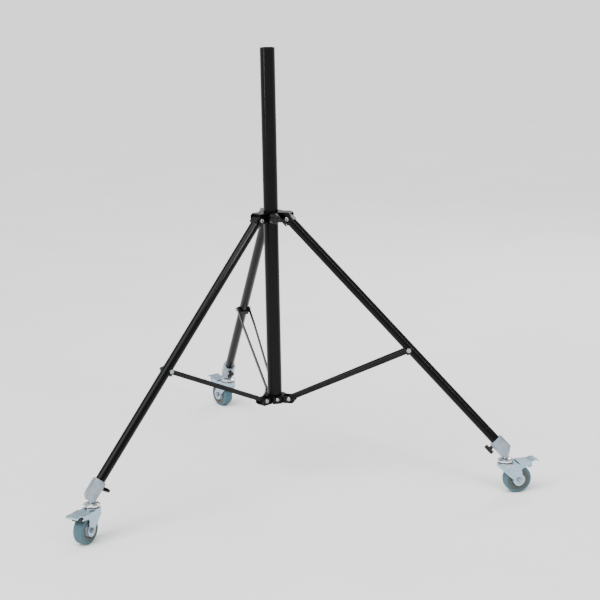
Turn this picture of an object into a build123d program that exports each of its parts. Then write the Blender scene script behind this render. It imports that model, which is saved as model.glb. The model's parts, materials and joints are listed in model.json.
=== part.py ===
from build123d import *
import os
from math import asin, atan2, cos, degrees, hypot, radians, sin

# Wheeled tripod base of a background stand, standing open. Millimetres, +Z up.
# The origin is on the floor under the column's axis.
# Each leg's pieces are built towards +X and then turned to the leg's azimuth. Each caster's
# pieces are built about their swivel axis, trailing towards +X, and then moved to the leg.

# ---------------------------------------------------------------- driving dimensions
COLUMN_D = 40.0
COLUMN_WALL = 2.0
COLUMN_BELOW_HUB_PIVOT = 6.0
COLUMN_TOP = 1190.0
END_PLUG_T = 2.0

RIGHT_AZIMUTH = -16.0
LEG_COUNT = 3
LEG_STEP = 360 / LEG_COUNT
LEG_SIDES = ("right", "rear", "left")
LEG_AZIMUTH = {side: RIGHT_AZIMUTH + LEG_STEP * step for step, side in enumerate(LEG_SIDES)}
HEAD_SIDE = {"right": -1, "rear": -1, "left": 1}
LEG_D = 26.0
LEG_WALL = 1.5
COLLAR_PIVOT_R = 49.0
COLLAR_PIVOT_Z = 734.0
HUB_PIVOT_R = 44.0
HUB_PIVOT_Z = 227.0
CLIP_DISTANCE = 482.0
CASTER_R = 644.0
FOLDED_ANGLE = 10.0

PIVOT_BOLT_R = 3.0
PIVOT_HEAD_R = 6.0
PIVOT_HEAD_T = 3.2
RUNNING = 0.06
SLIDING = 0.08
SEAT = 0.05
SIDE_GAP = 0.4

LUG_WALL = 3.4
LUG_WEB = 3.5
LUG_REACH = 60.0
BOSS_WIDTH = 24.0
COLLAR_RING_WALL = 6.0
EYE_ROOM = 1.5
COLLAR_BELOW = 9.5
LINER_WALL = 1.5
HUB_RING_WALL = 6.5
HUB_ABOVE = 7.0
HUB_BELOW = 12.5
HUB_LUG_HALF = 14.2
FIXING_R = 2.5
FIXING_HEAD_R = 4.8

BAR_THICK = 3.0
BAR_HEIGHT = 13.0
BAR_HUB_STRAIGHT = 10.0
BAR_CLIP_STRAIGHT = 78.0
CLIP_WALL = 2.2
CLIP_LENGTH = 17.0

SOCKET_FLATS = 36.0
SOCKET_REACH = 41.0
SOCKET_BELOW_ELBOW = 14.4
SOCKET_FRONT = 12.5
SOCKET_FRONT_SLANT = 9.5
SOCKET_SEAT = 14.0
THUMB_FROM_ELBOW = 31.3
THUMB_BAR = 28.0
THUMB_THICK = 9.0
THUMB_REACH = 32.3
THUMB_TURN = {"right": 0.0, "rear": -32.0, "left": 85.0}
THUMB_STUD_R = 3.0

STEM_R = 6.0
STEM_ABOVE_ELBOW = 6.0
WHEEL_D = 75.0
TYRE_WIDTH = 30.0
HUB_RIM_R = 21.0
HUB_RIM_WALL = 3.5
HUB_BOSS_R = 9.5
HUB_WEB_T = 7.0
TRAIL = 33.0
AXLE_R = 4.0
FORK_WALL = 2.5
FORK_GAP = 17.0
CROWN_ABOVE_WHEEL = 6.0
CROWN_R = 22.5
CROWN_END_BEFORE_AXLE = 3.0
FRONT_LIP = 5.0
BOSS_R = 16.5
TYRE_ROOM = 1.6
CAP_R = 21.5
CAP_ABOVE_CROWN = 6.9
CAP_HEIGHT = 9.1
ELBOW_ABOVE_CAP = 18.36
KINGPIN_R = 5.0
PEEN_R = 8.0
PEEN_T = 3.0
PEEN_GAP = 0.2
CAP_SKIRT = 3.5
TRAIL_AZIMUTH = {"right": 14.0, "rear": 128.0, "left": 243.0}

PEDAL_PIVOT_BEHIND_AXLE = 7.0
PEDAL_PIVOT_BELOW_CROWN = 2.5
PEDAL_PIN_R = 2.0
PEDAL_HALF = 22.0
TONGUE_HALF = 18.5
PEDAL_ABOVE_CROWN = 4.8
PEDAL_SHEET = 2.2
PAD_GAP = 3.5
PAD_DEPTH = 14.0

KNOB_AZIMUTH = RIGHT_AZIMUTH - LEG_STEP / 2
KNOB_R = 15.5
KNOB_LENGTH = 16.0
KNOB_LEVER = 38.0
CLAMP_SCREW_R = 4.0
SCREW_TIP_GAP = 0.3

# ---------------------------------------------------------------- worked-out places
COLUMN_R = COLUMN_D / 2
LEG_R = LEG_D / 2
WHEEL_R = WHEEL_D / 2
AXLE_Z = WHEEL_R
CROWN_Z = WHEEL_D + CROWN_ABOVE_WHEEL
CROWN_TOP = CROWN_Z + FORK_WALL
CAP_LOW = CROWN_TOP + CAP_ABOVE_CROWN
CAP_TOP = CAP_LOW + CAP_HEIGHT
ELBOW_Z = CAP_TOP + ELBOW_ABOVE_CAP
LEG_TILT = atan2(CASTER_R - COLLAR_PIVOT_R, COLLAR_PIVOT_Z - ELBOW_Z)
LEG_ANGLE = degrees(LEG_TILT)
LEG_TO_ELBOW = hypot(CASTER_R - COLLAR_PIVOT_R, COLLAR_PIVOT_Z - ELBOW_Z)
COLUMN_BOTTOM = HUB_PIVOT_Z - COLUMN_BELOW_HUB_PIVOT
COLLAR_ABOVE = LEG_R + EYE_ROOM + LUG_WEB
MOUTH_DISTANCE = LEG_TO_ELBOW - SOCKET_REACH
TUBE_END = LEG_TO_ELBOW - SOCKET_SEAT
TUBE_START = LEG_R + 1.5
COLLAR_LUG_HALF = LEG_R + SIDE_GAP + LUG_WALL
CLIP_R = COLLAR_PIVOT_R + CLIP_DISTANCE * sin(LEG_TILT)
CLIP_Z = COLLAR_PIVOT_Z - CLIP_DISTANCE * cos(LEG_TILT)
BRACE_LENGTH = hypot(CLIP_R - HUB_PIVOT_R, CLIP_Z - HUB_PIVOT_Z)
BRACE_TILT = atan2(CLIP_R - HUB_PIVOT_R, CLIP_Z - HUB_PIVOT_Z)
CLIP_HALF = LEG_R + CLIP_WALL
BAR_OUT_Y = CLIP_HALF + SIDE_GAP
BAR_HUB_Y = HUB_LUG_HALF - LUG_WALL - SIDE_GAP - BAR_THICK
CROWN_BACK = TRAIL - CROWN_END_BEFORE_AXLE
PEDAL_PIVOT = (TRAIL + PEDAL_PIVOT_BEHIND_AXLE, CROWN_Z - PEDAL_PIVOT_BELOW_CROWN)
PEDAL_TOP = CROWN_Z + PEDAL_ABOVE_CROWN
FORK_HALF = FORK_GAP + FORK_WALL
STEM_TOP = ELBOW_Z + STEM_ABOVE_ELBOW
SOCKET_BOTTOM = ELBOW_Z - SOCKET_BELOW_ELBOW
COLLAR_RING_R = COLUMN_R + LINER_WALL + COLLAR_RING_WALL
HUB_RING_R = COLUMN_R + HUB_RING_WALL
CLAMP_Z = COLLAR_PIVOT_Z + 4.0
BOSS_REACH = 31.0

FOLDED_CLIP_R = COLLAR_PIVOT_R + CLIP_DISTANCE * sin(radians(FOLDED_ANGLE))
FOLDED_BRACE = asin((FOLDED_CLIP_R - HUB_PIVOT_R) / BRACE_LENGTH)
COLLAR_TRAVEL = (HUB_PIVOT_Z + BRACE_LENGTH * cos(FOLDED_BRACE)
                 - COLLAR_PIVOT_Z + CLIP_DISTANCE * cos(radians(FOLDED_ANGLE)))

LEG_LINE = Plane(origin=(COLLAR_PIVOT_R, 0, COLLAR_PIVOT_Z), x_dir=(0, 1, 0),
                 z_dir=(sin(LEG_TILT), 0, -cos(LEG_TILT)))
SIDE = Plane(origin=(0, 0, 0), x_dir=(1, 0, 0), z_dir=(0, -1, 0))
AXLE_SECTION = Plane(origin=(TRAIL, 0, AXLE_Z), x_dir=(1, 0, 0), z_dir=(0, 0, 1))
AXLE = Axis((TRAIL, 0, AXLE_Z), (0, 1, 0))


# ---------------------------------------------------------------- placing and saving
def save(shape, name):
    shape.label = name
    export_step(shape, f"parts/{name}.step")


def save_on_legs(piece, name):
    for side, azimuth in LEG_AZIMUTH.items():
        save(piece.part.rotate(Axis.Z, azimuth), f"{side}_{name}")


def save_on_casters(piece, name):
    for side, azimuth in LEG_AZIMUTH.items():
        centre = (CASTER_R * cos(radians(azimuth)), CASTER_R * sin(radians(azimuth)), 0)
        save(piece.part.moved(Location(centre, (0, 0, TRAIL_AZIMUTH[side]))), f"{side}_{name}")


def radial_plane(azimuth, radius, height):
    outward = (cos(radians(azimuth)), sin(radians(azimuth)), 0)
    return Plane(origin=(radius * outward[0], radius * outward[1], height),
                 x_dir=(-outward[1], outward[0], 0), z_dir=outward)


def side_plane(azimuth):
    outward = (cos(radians(azimuth)), sin(radians(azimuth)), 0)
    return Plane(origin=(0, 0, 0), x_dir=outward, z_dir=(outward[1], -outward[0], 0))


def boss_azimuths():
    return [KNOB_AZIMUTH + LEG_STEP * step for step in range(LEG_COUNT)]


# ---------------------------------------------------------------- column and castings
def make_column_tube():
    with BuildPart() as tube:
        with BuildSketch(Plane.XY.offset(COLUMN_BOTTOM)):
            Circle(COLUMN_R)
            Circle(COLUMN_R - COLUMN_WALL, mode=Mode.SUBTRACT)
        extrude(amount=COLUMN_TOP - COLUMN_BOTTOM)
        chamfer(tube.edges().group_by(Axis.Z)[-1], 0.4)
        for azimuth in boss_azimuths():
            with BuildSketch(radial_plane(azimuth, 0, HUB_PIVOT_Z)):
                Circle(FIXING_R + SEAT)
            extrude(amount=COLUMN_D, mode=Mode.SUBTRACT)
    return tube


def make_column_end_plug():
    with BuildPart() as plug:
        with BuildSketch(Plane.XY.offset(COLUMN_BOTTOM - END_PLUG_T)):
            Circle(COLUMN_R - 0.3)
        extrude(amount=END_PLUG_T - SEAT)
    return plug


def make_lug_casting(low, high, slot_low, slot_high, bore_r, ring_r, slot_half, pivot_r, pivot_z, corner_z):
    """Ring with one forked lug towards each leg and a flat boss between each two legs."""
    corner = 6.0
    corner_step = corner if corner_z == low else -corner
    with BuildPart() as casting:
        with BuildSketch(Plane.XY.offset(low)):
            Circle(ring_r)
            with PolarLocations(0, LEG_COUNT, RIGHT_AZIMUTH):
                Rectangle(LUG_REACH, 2 * (slot_half + LUG_WALL), align=(Align.MIN, Align.CENTER))
            with PolarLocations(0, LEG_COUNT, KNOB_AZIMUTH):
                Rectangle(BOSS_REACH, BOSS_WIDTH, align=(Align.MIN, Align.CENTER))
        extrude(amount=high - low)
        with BuildSketch(Plane.XY.offset(slot_low)):
            with PolarLocations(ring_r, LEG_COUNT, RIGHT_AZIMUTH):
                Rectangle(LUG_REACH, 2 * slot_half, align=(Align.MIN, Align.CENTER))
        extrude(amount=slot_high - slot_low, mode=Mode.SUBTRACT)
        with BuildSketch(Plane.XY.offset(low)):
            Circle(bore_r)
        extrude(amount=high - low, mode=Mode.SUBTRACT)
        for azimuth in LEG_AZIMUTH.values():
            with BuildSketch(side_plane(azimuth)):
                with Locations((pivot_r, pivot_z)):
                    Circle(PIVOT_BOLT_R + SEAT)
                with BuildLine():
                    Polyline((LUG_REACH - corner, corner_z), (LUG_REACH + 1, corner_z),
                             (LUG_REACH + 1, corner_z + corner_step), (LUG_REACH, corner_z + corner_step),
                             (LUG_REACH - corner, corner_z), close=True)
                make_face()
            extrude(amount=LUG_REACH, both=True, mode=Mode.SUBTRACT)
    return casting


def make_lower_hub():
    low = HUB_PIVOT_Z - HUB_BELOW
    high = HUB_PIVOT_Z + HUB_ABOVE
    casting = make_lug_casting(low, high, low + LUG_WEB, high, COLUMN_R + SEAT, HUB_RING_R,
                               HUB_LUG_HALF - LUG_WALL, HUB_PIVOT_R, HUB_PIVOT_Z, low)
    with BuildPart() as hub:
        add(casting.part)
        for azimuth in boss_azimuths():
            with BuildSketch(radial_plane(azimuth, 0, HUB_PIVOT_Z)):
                Circle(FIXING_R + SEAT)
            extrude(amount=LUG_REACH, mode=Mode.SUBTRACT)
    return hub


def make_collar_body():
    low = COLLAR_PIVOT_Z - COLLAR_BELOW
    high = COLLAR_PIVOT_Z + COLLAR_ABOVE
    casting = make_lug_casting(low, high, low, high - LUG_WEB, COLUMN_R + LINER_WALL, COLLAR_RING_R,
                               LEG_R + SIDE_GAP, COLLAR_PIVOT_R, COLLAR_PIVOT_Z, high)
    with BuildPart() as collar:
        add(casting.part)
        with BuildSketch(radial_plane(KNOB_AZIMUTH, COLUMN_R, CLAMP_Z)):
            Circle(CLAMP_SCREW_R + RUNNING)
        extrude(amount=LUG_REACH, mode=Mode.SUBTRACT)
    return collar


def make_collar_liner():
    low = COLLAR_PIVOT_Z - COLLAR_BELOW
    height = COLLAR_ABOVE + COLLAR_BELOW
    with BuildPart() as liner:
        with BuildSketch(Plane.XY.offset(low)):
            Circle(COLUMN_R + LINER_WALL - SEAT)
            Circle(COLUMN_R + SLIDING, mode=Mode.SUBTRACT)
        extrude(amount=height)
        with BuildSketch(radial_plane(KNOB_AZIMUTH, 0, CLAMP_Z)):
            Circle(CLAMP_SCREW_R + RUNNING)
        extrude(amount=LUG_REACH, mode=Mode.SUBTRACT)
    return liner


def make_pivot_bolts(pivot_r, pivot_z, half_grip):
    """Pan-head bolt across each lug, with a hexagon lock nut on its far end."""
    nut_t = 4.2
    grip = half_grip + SEAT
    with BuildPart() as bolts:
        for side, azimuth in LEG_AZIMUTH.items():
            turn = HEAD_SIDE[side]
            with BuildSketch(side_plane(azimuth).offset(-turn * grip)):
                with Locations((pivot_r, pivot_z)):
                    Circle(PIVOT_HEAD_R)
            extrude(amount=-turn * PIVOT_HEAD_T)
            with BuildSketch(side_plane(azimuth).offset(-turn * grip)):
                with Locations((pivot_r, pivot_z)):
                    Circle(PIVOT_BOLT_R)
            extrude(amount=turn * (2 * grip + nut_t + 1.0))
            with BuildSketch(side_plane(azimuth).offset(turn * grip)):
                with Locations((pivot_r, pivot_z)):
                    RegularPolygon(5.0, 6, major_radius=False)
            extrude(amount=turn * nut_t)
    return bolts


def make_lower_hub_fasteners():
    pivots = make_pivot_bolts(HUB_PIVOT_R, HUB_PIVOT_Z, HUB_LUG_HALF)
    with BuildPart() as fasteners:
        add(pivots.part)
        for azimuth in boss_azimuths():
            inside = COLUMN_R - COLUMN_WALL / 2
            with BuildSketch(radial_plane(azimuth, inside, HUB_PIVOT_Z)):
                Circle(FIXING_R)
            extrude(amount=BOSS_REACH + SEAT - inside)
            with BuildSketch(radial_plane(azimuth, BOSS_REACH + SEAT, HUB_PIVOT_Z)):
                Circle(FIXING_HEAD_R)
            extrude(amount=3.0)
            with BuildSketch(radial_plane(azimuth, BOSS_REACH + 1.2, HUB_PIVOT_Z)):
                RegularPolygon(2.0, 6)
            extrude(amount=4.0, mode=Mode.SUBTRACT)
    return fasteners


# ---------------------------------------------------------------- clamp knob
def make_clamp_knob():
    start = BOSS_REACH + 1.0
    lever_start = start + KNOB_LENGTH
    with BuildPart() as knob:
        with BuildSketch(radial_plane(0, start, CLAMP_Z)):
            Circle(KNOB_R)
        extrude(amount=KNOB_LENGTH, taper=4)
        with BuildSketch(radial_plane(0, lever_start - 1.0, CLAMP_Z)):
            with BuildLine():
                Polyline((-9, 10), (-9, -8), (KNOB_LEVER * 0.8 - 1, -KNOB_LEVER * 0.6 - 1),
                         (KNOB_LEVER * 0.8 + 1, -KNOB_LEVER * 0.6 + 3), (10, 10), close=True)
            make_face()
        extrude(amount=6.0)
        fillet(knob.edges().filter_by(GeomType.LINE).filter_by(Axis.X), 1.5)
        with BuildSketch(radial_plane(0, start, CLAMP_Z)):
            Circle(CLAMP_SCREW_R + SEAT)
        extrude(amount=KNOB_LENGTH - 3, mode=Mode.SUBTRACT)
    return knob


def make_clamp_screw():
    tip = COLUMN_R + SCREW_TIP_GAP
    with BuildPart() as screw:
        with BuildSketch(radial_plane(0, tip, CLAMP_Z)):
            Circle(CLAMP_SCREW_R)
        extrude(amount=BOSS_REACH + 1.0 + KNOB_LENGTH - 3.2 - tip)
    return screw


# ---------------------------------------------------------------- leg
def make_leg_tube():
    with BuildPart() as tube:
        with BuildSketch(LEG_LINE.offset(TUBE_START)):
            Circle(LEG_R)
            Circle(LEG_R - LEG_WALL, mode=Mode.SUBTRACT)
        extrude(amount=TUBE_END - TUBE_START)
        with BuildSketch(SIDE):
            with Locations((CLIP_R, CLIP_Z)):
                Circle(PIVOT_BOLT_R + SEAT)
        extrude(amount=LEG_D, both=True, mode=Mode.SUBTRACT)
    return tube


def make_leg_top_fitting():
    """Plug in the tube's top with the eye that turns between the collar's cheeks."""
    with BuildPart() as fitting:
        with BuildSketch(SIDE):
            with Locations((COLLAR_PIVOT_R, COLLAR_PIVOT_Z)):
                Circle(LEG_R - 0.5)
        extrude(amount=LEG_R, both=True)
        with BuildSketch(LEG_LINE):
            Rectangle(LEG_D, LEG_D - 1)
        extrude(amount=TUBE_START - SEAT)
        with BuildSketch(LEG_LINE):
            Circle(LEG_R - LEG_WALL - SEAT)
        extrude(amount=TUBE_START + 22)
        with BuildSketch(SIDE):
            with Locations((COLLAR_PIVOT_R, COLLAR_PIVOT_Z)):
                Circle(PIVOT_BOLT_R + RUNNING)
        extrude(amount=LEG_D, both=True, mode=Mode.SUBTRACT)
    return fitting


def make_brace_clip():
    """Saddle under the tube, with a flat cheek each side and the pivot pin through both."""
    with BuildPart() as clip:
        with BuildSketch(LEG_LINE.offset(CLIP_DISTANCE - CLIP_LENGTH / 2)):
            with Locations((0, -(LEG_R + CLIP_WALL) / 2 + 3)):
                Rectangle(2 * CLIP_HALF, LEG_R + CLIP_WALL + 6)
            Circle(LEG_R + SEAT, mode=Mode.SUBTRACT)
            with Locations((0, LEG_R)):
                Rectangle(2 * LEG_R + 2 * SEAT, 2 * LEG_R, mode=Mode.SUBTRACT)
        extrude(amount=CLIP_LENGTH)
        fillet(clip.edges().filter_by(Axis(LEG_LINE.origin, LEG_LINE.z_dir)).sort_by(Axis.Z)[:2], 5)
        with BuildSketch(SIDE):
            with Locations((CLIP_R, CLIP_Z)):
                Circle(PIVOT_BOLT_R)
        extrude(amount=CLIP_HALF, both=True)
    return clip


def make_caster_socket():
    """Eight-sided socket, cut level below and upright at its outer side."""
    front = Plane(origin=(CASTER_R + SOCKET_FRONT, 0, ELBOW_Z + SOCKET_FRONT), x_dir=(0, 1, 0),
                  z_dir=(cos(radians(SOCKET_FRONT_SLANT)), 0, -sin(radians(SOCKET_FRONT_SLANT))))
    with BuildPart() as socket:
        with BuildSketch(LEG_LINE.offset(MOUTH_DISTANCE)):
            RegularPolygon(SOCKET_FLATS / 2, 8, major_radius=False, rotation=22.5)
        extrude(amount=2 * SOCKET_REACH)
        split(bisect_by=Plane.XY.offset(SOCKET_BOTTOM), keep=Keep.TOP)
        split(bisect_by=front, keep=Keep.BOTTOM)
        fillet(socket.edges(), 1.6)
        with BuildSketch(LEG_LINE.offset(MOUTH_DISTANCE)):
            Circle(LEG_R + SEAT)
        extrude(amount=SOCKET_REACH - SOCKET_SEAT + 0.3, mode=Mode.SUBTRACT)
        with BuildSketch(Plane.XY.offset(SOCKET_BOTTOM)):
            with Locations((CASTER_R, 0)):
                Circle(STEM_R + SEAT)
        extrude(amount=STEM_TOP + 0.5 - SOCKET_BOTTOM, mode=Mode.SUBTRACT)
        with BuildSketch(thumb_plane(0)):
            Circle(THUMB_STUD_R + RUNNING)
        extrude(amount=SOCKET_FLATS, mode=Mode.SUBTRACT)
    return socket


def thumb_plane(offset):
    """Plane square to the thumb screw's axis, which points down towards the column."""
    distance = LEG_TO_ELBOW - THUMB_FROM_ELBOW
    along = (sin(LEG_TILT), 0, -cos(LEG_TILT))
    out = (-cos(LEG_TILT), 0, -sin(LEG_TILT))
    origin = (COLLAR_PIVOT_R + distance * along[0] + offset * out[0], 0,
              COLLAR_PIVOT_Z + distance * along[2] + offset * out[2])
    return Plane(origin=origin, x_dir=along, z_dir=out)


def make_thumb_screw_wing():
    start = SOCKET_FLATS / 2 + 1.0
    bar_start = THUMB_REACH - THUMB_THICK / 2
    with BuildPart() as wing:
        with BuildSketch(thumb_plane(start)):
            Circle(5.0)
        extrude(amount=bar_start - start)
        with BuildSketch(thumb_plane(bar_start)):
            SlotOverall(THUMB_BAR, THUMB_THICK)
        extrude(amount=THUMB_THICK)
        fillet(wing.faces().sort_by(Axis(LEG_LINE.origin, thumb_plane(0).z_dir))[-1].edges(), 1.5)
        with BuildSketch(thumb_plane(start)):
            Circle(THUMB_STUD_R + SEAT)
        extrude(amount=THUMB_REACH - start, mode=Mode.SUBTRACT)
    return wing


def make_thumb_screw_stud():
    start = LEG_R + SCREW_TIP_GAP
    with BuildPart() as stud:
        with BuildSketch(thumb_plane(start)):
            Circle(THUMB_STUD_R)
        extrude(amount=THUMB_REACH - 0.5 - start)
    return stud


# ---------------------------------------------------------------- braces
def make_brace_bar(side):
    """Flat bar, parallel to the leg at both pivots and sloping outwards between them."""
    near = side * (BAR_HUB_Y + BAR_THICK / 2)
    far = side * (BAR_OUT_Y + BAR_THICK / 2)
    half = BAR_THICK / 2
    end = BAR_HEIGHT / 2
    along = Plane(origin=(HUB_PIVOT_R, 0, HUB_PIVOT_Z), x_dir=(sin(BRACE_TILT), 0, cos(BRACE_TILT)),
                  z_dir=(-cos(BRACE_TILT), 0, sin(BRACE_TILT)))
    face = Plane(origin=along.origin, x_dir=along.x_dir, z_dir=(0, -1, 0))
    stations = [(-end, near), (BAR_HUB_STRAIGHT, near), (BRACE_LENGTH - BAR_CLIP_STRAIGHT, far),
                (BRACE_LENGTH + end, far)]
    edge = [(x, y + half) for x, y in stations] + [(x, y - half) for x, y in reversed(stations)]
    with BuildPart() as bar:
        with BuildSketch(along):
            with BuildLine():
                Polyline(*edge, close=True)
            make_face()
        extrude(amount=BAR_HEIGHT / 2, both=True)
        with BuildSketch(face):
            with Locations((BRACE_LENGTH / 2, 0)):
                SlotOverall(BRACE_LENGTH + BAR_HEIGHT, BAR_HEIGHT)
            with Locations((0, 0), (BRACE_LENGTH, 0)):
                Circle(PIVOT_BOLT_R + RUNNING, mode=Mode.SUBTRACT)
        extrude(amount=LEG_D, both=True, mode=Mode.INTERSECT)
    return bar


def make_brace_rivets(head_side):
    """Bolt head and lock nut on the bars' outer ends, each with its short shank in the bar."""
    nut_t = 5.0
    with BuildPart() as rivets:
        for side in (1, -1):
            inner = SIDE.offset(-side * BAR_OUT_Y)
            outer = SIDE.offset(-side * (BAR_OUT_Y + BAR_THICK + SEAT))
            with BuildSketch(inner):
                with Locations((CLIP_R, CLIP_Z)):
                    Circle(PIVOT_BOLT_R)
            extrude(amount=-side * (BAR_THICK + PIVOT_HEAD_T))
            with BuildSketch(outer):
                with Locations((CLIP_R, CLIP_Z)):
                    if side == head_side:
                        Circle(PIVOT_HEAD_R)
                    else:
                        RegularPolygon(5.0, 6, major_radius=False)
            extrude(amount=-side * (PIVOT_HEAD_T if side == head_side else nut_t))
    return rivets


# ---------------------------------------------------------------- caster
def make_caster_stem():
    """Stem, upper race cap and kingpin, turned in one piece."""
    with BuildPart() as stem:
        with BuildSketch(SIDE):
            with BuildLine():
                Polyline((0, CROWN_Z - PEEN_T), (PEEN_R, CROWN_Z - PEEN_T), (PEEN_R, CROWN_Z - PEEN_GAP),
                         (KINGPIN_R, CROWN_Z - PEEN_GAP), (KINGPIN_R, CAP_LOW), (CAP_R, CAP_LOW),
                         (CAP_R, CAP_LOW + CAP_SKIRT))
                ThreePointArc((CAP_R, CAP_LOW + CAP_SKIRT), (CAP_R - 5.5, CAP_TOP - 2.2),
                              (STEM_R + 4, CAP_TOP))
                Polyline((STEM_R + 4, CAP_TOP), (STEM_R, CAP_TOP), (STEM_R, STEM_TOP), (0, STEM_TOP),
                         (0, CROWN_Z - PEEN_T))
            make_face()
        revolve(axis=Axis.Z)
    return stem


def make_swivel_bearing():
    """Lower race with its ring of balls."""
    balls = 16
    ball_r = 1.8
    race_top = CAP_LOW - 2 * ball_r - 0.4
    ball_z = race_top + ball_r - 0.3
    with BuildPart() as bearing:
        with BuildSketch(Plane.XY.offset(CROWN_TOP + SEAT)):
            Circle(CAP_R - 0.5)
            Circle(KINGPIN_R + 2, mode=Mode.SUBTRACT)
        extrude(amount=race_top - CROWN_TOP - SEAT)
        with Locations((0, 0, ball_z)):
            with PolarLocations(CAP_R - 5, balls):
                Sphere(ball_r)
    return bearing


def make_fork_cavity():
    """Room for the wheel: inside the cheeks, behind the sloping front wall and clear of the tyre."""
    front_top = (-CROWN_R, CROWN_Z - FRONT_LIP)
    front_foot = (TRAIL - BOSS_R + 1, AXLE_Z + 1)
    slope = atan2(front_top[1] - front_foot[1], front_foot[0] - front_top[0])
    inward = (FORK_WALL * sin(slope), FORK_WALL * cos(slope))
    with BuildPart() as cavity:
        with BuildSketch(SIDE):
            with Locations((TRAIL, CROWN_Z)):
                Rectangle(4 * WHEEL_R, 2 * WHEEL_D, align=(Align.CENTER, Align.MAX))
            with Locations((CROWN_BACK, CROWN_Z - 1)):
                Rectangle(WHEEL_D, WHEEL_D, align=(Align.MIN, Align.MIN))
            with BuildLine():
                Polyline((-CROWN_R - WHEEL_R, CROWN_Z), (-CROWN_R + FORK_WALL, CROWN_Z),
                         (-CROWN_R + FORK_WALL, front_top[1] + 1),
                         (front_foot[0] + inward[0], front_foot[1] + inward[1]),
                         (front_foot[0], -WHEEL_R), (-CROWN_R - WHEEL_R, -WHEEL_R), close=True)
            make_face(mode=Mode.SUBTRACT)
            with Locations((TRAIL, AXLE_Z)):
                Circle(WHEEL_R + TYRE_ROOM)
        extrude(amount=FORK_GAP, both=True)
        with BuildSketch(Plane.XY.offset(-WHEEL_R)):
            Circle(CROWN_R - FORK_WALL)
            Rectangle(2 * WHEEL_D, 2 * FORK_GAP, align=(Align.MIN, Align.CENTER))
        extrude(amount=3 * WHEEL_D, mode=Mode.INTERSECT)
    return cavity


def make_caster_fork():
    """Pressed fork: round crown, sloping front wall, two cheeks with axle bosses, and rear wings."""
    wing_end = TRAIL + 37.0
    with BuildPart() as fork:
        with BuildSketch(SIDE):
            with BuildLine():
                Polyline((-CROWN_R, CROWN_TOP), (-CROWN_R, CROWN_Z - FRONT_LIP),
                         (TRAIL - BOSS_R + 1, AXLE_Z + 1), (TRAIL, AXLE_Z - 2),
                         (TRAIL + BOSS_R - 1, AXLE_Z + 1), (TRAIL + 9, AXLE_Z + 15),
                         (TRAIL + 7, CROWN_Z - 15.5), (TRAIL + 10, CROWN_Z - 11),
                         (wing_end - 2, CROWN_Z - 7),
                         (wing_end, CROWN_Z - 5.5), (wing_end, CROWN_Z - 4), (wing_end - 1, CROWN_Z - 3),
                         (TRAIL + 13, CROWN_Z + 0.5),
                         (CROWN_BACK, CROWN_TOP), close=True)
            make_face()
            with Locations((TRAIL, AXLE_Z)):
                Circle(BOSS_R)
        extrude(amount=FORK_HALF, both=True)
        with BuildSketch(Plane.XY.offset(-WHEEL_R)):
            Circle(CROWN_R)
            Rectangle(2 * WHEEL_D, 2 * FORK_HALF, align=(Align.MIN, Align.CENTER))
        extrude(amount=3 * WHEEL_D, mode=Mode.INTERSECT)
        add(make_fork_cavity().part, mode=Mode.SUBTRACT)
        with BuildSketch(Plane.XY.offset(CROWN_Z - 1)):
            Circle(KINGPIN_R + RUNNING)
        extrude(amount=2 * FORK_WALL, mode=Mode.SUBTRACT)
        with BuildSketch(SIDE):
            with Locations((TRAIL, AXLE_Z)):
                Circle(AXLE_R + SEAT)
            with Locations(PEDAL_PIVOT):
                Circle(PEDAL_PIN_R + RUNNING)
        extrude(amount=2 * FORK_HALF, both=True, mode=Mode.SUBTRACT)
    return fork


def make_axle_bolt():
    nut_t = 6.0
    with BuildPart() as bolt:
        with BuildSketch(SIDE.offset(FORK_HALF + SEAT)):
            with Locations((TRAIL, AXLE_Z)):
                RegularPolygon(6.5, 6, major_radius=False)
        extrude(amount=4.5)
        with BuildSketch(SIDE.offset(FORK_HALF + SEAT)):
            with Locations((TRAIL, AXLE_Z)):
                Circle(AXLE_R)
        extrude(amount=-(2 * FORK_HALF + nut_t + 1.5))
        with BuildSketch(SIDE.offset(-FORK_HALF - SEAT)):
            with Locations((TRAIL, AXLE_Z)):
                RegularPolygon(6.5, 6, major_radius=False)
                Circle(AXLE_R + SEAT, mode=Mode.SUBTRACT)
        extrude(amount=-nut_t)
    return bolt


def make_wheel_hub():
    """Moulded hub: bearing boss, recessed web and rim."""
    boss_half = FORK_GAP - SIDE_GAP
    bore_r = AXLE_R + RUNNING
    with BuildPart() as hub:
        with BuildSketch(AXLE_SECTION):
            with Locations((bore_r, 0)):
                Rectangle(HUB_BOSS_R - bore_r, 2 * boss_half, align=(Align.MIN, Align.CENTER))
            with Locations((HUB_BOSS_R - 1, 0)):
                Rectangle(HUB_RIM_R - HUB_BOSS_R, HUB_WEB_T, align=(Align.MIN, Align.CENTER))
            with Locations((HUB_RIM_R, 0)):
                Rectangle(HUB_RIM_WALL, TYRE_WIDTH - 6, align=(Align.MAX, Align.CENTER))
        revolve(axis=AXLE)
    return hub


def make_tyre():
    with BuildPart() as tyre:
        with BuildSketch(AXLE_SECTION) as section:
            with Locations(((HUB_RIM_R + SEAT + WHEEL_R) / 2, 0)):
                Rectangle(WHEEL_R - HUB_RIM_R - SEAT, TYRE_WIDTH)
            fillet(section.vertices().group_by(Axis.X)[-1], 6.0)
            fillet(section.vertices().group_by(Axis.X)[0], 1.5)
        revolve(axis=AXLE)
    return tyre


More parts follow.
